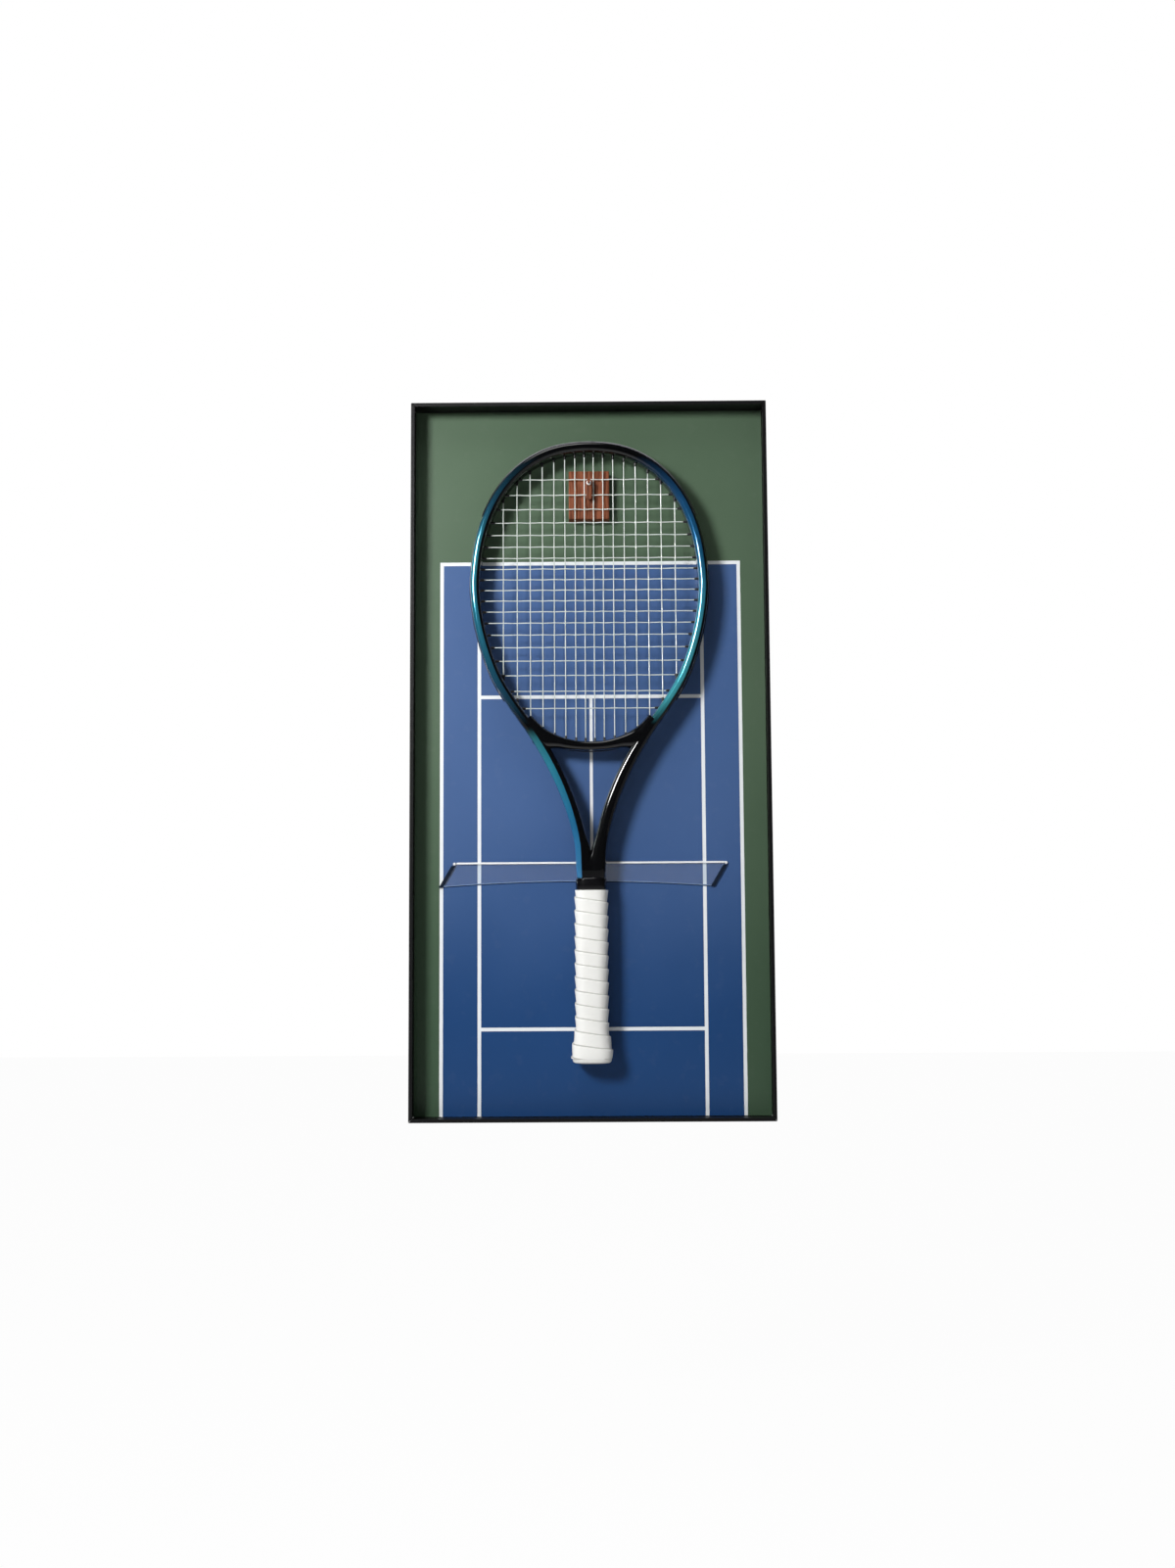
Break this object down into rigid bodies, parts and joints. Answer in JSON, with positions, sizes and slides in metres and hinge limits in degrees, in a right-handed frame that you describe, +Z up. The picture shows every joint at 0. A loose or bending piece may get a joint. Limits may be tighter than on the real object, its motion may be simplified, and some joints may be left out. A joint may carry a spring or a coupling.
{
  "type": "racket display frame",
  "caption": "Shallow black wall frame with a tennis court board, on which a tennis racket hangs by its strings from a peg with a toggle.",
  "frame": {"origin": "on the back edge of the bottom rail, halfway along it, in the plane of the wall", "axes": "+Z up, +Y into the wall, +X to the right seen from the front; the front faces -Y"},
  "size_m": [0.4, 0.0428, 0.8],
  "materials": {
    "black_profile": "satin black anodised",
    "steel_zinc": "zinc plated",
    "steel_black": "black oxide",
    "steel_pale": "pale zinc",
    "steel_nickel": "nickel plated",
    "chrome": "polished",
    "printed_board": "glossy print of a tennis court",
    "block_brown": "red-brown, painted",
    "toggle_brown": "red-brown, painted",
    "nylon_brown": "red-brown nylon",
    "clear_acrylic": "clear acrylic",
    "dark_acrylic": "dark acrylic",
    "net_white": "white",
    "racket_lacquer": "black lacquer with a blue side",
    "nylon_black": "moulded nylon",
    "string_white": "synthetic string",
    "grip_white": "wound synthetic tape",
    "pallet_foam": "hard foam",
    "cap_white": "moulded cap",
    "rubber_black": "soft"
  },
  "bodies": {
    "display_frame": {"frame_bottom_rail": "black_profile", "frame_top_rail": "black_profile", "frame_left_stile": "black_profile", "frame_right_stile": "black_profile", "corner_bracket_bottom_left": "steel_zinc", "corner_bracket_bottom_right": "steel_zinc", "corner_bracket_top_left": "steel_zinc", "corner_bracket_top_right": "steel_zinc", "block_screw_1": "steel_zinc", "block_screw_2": "steel_zinc", "bracket_screw_1": "steel_black", "bracket_screw_2": "steel_black", "bracket_screw_3": "steel_black", "bracket_screw_4": "steel_black", "bracket_screw_5": "steel_black", "bracket_screw_6": "steel_black", "bracket_screw_7": "steel_black", "bracket_screw_8": "steel_black", "board_screw_1": "steel_pale", "board_screw_2": "steel_pale", "board_screw_3": "steel_pale", "board_screw_4": "steel_pale", "board_screw_5": "steel_pale", "board_screw_6": "steel_pale", "keyhole_plate_left": "steel_nickel", "keyhole_plate_right": "steel_nickel", "hanger_screw_1": "steel_nickel", "hanger_screw_2": "steel_nickel", "hanger_screw_3": "steel_nickel", "hanger_screw_4": "steel_nickel", "peg_screw": "chrome", "court_board": "printed_board", "hanging_block": "block_brown", "string_sleeve": "nylon_brown", "net_plate": "clear_acrylic", "net_post_left": "dark_acrylic", "net_post_right": "dark_acrylic", "net_tape": "net_white", "net_cap_left": "net_white", "net_cap_right": "net_white", "wall_bumper_bottom_left": "rubber_black", "wall_bumper_bottom_right": "rubber_black", "wall_bumper_top_left": "rubber_black", "wall_bumper_top_right": "rubber_black"},
    "latch": {"toggle_latch": "toggle_brown"},
    "racket": {"racket_frame": "racket_lacquer", "bumper_guard": "nylon_black", "grommet_strip_left": "nylon_black", "grommet_strip_right": "nylon_black", "throat_grommet_strip": "nylon_black", "string_bed": "string_white", "overgrip": "grip_white", "handle_pallet": "pallet_foam", "butt_cap": "cap_white", "grip_collar": "rubber_black"}
  },
  "joints": [
    {"name": "racket_swing", "type": "hinge", "parent": "display_frame", "child": "racket", "pos_m": [0, -0.0265, 0.7067], "axis": [0, 1, 0], "range_deg": [-12, 12]},
    {"name": "toggle_turn", "type": "hinge", "parent": "display_frame", "child": "latch", "pos_m": [0, -0.0281, 0.7067], "axis": [0, 1, 0], "range_deg": [-90, 90]}
  ]
}
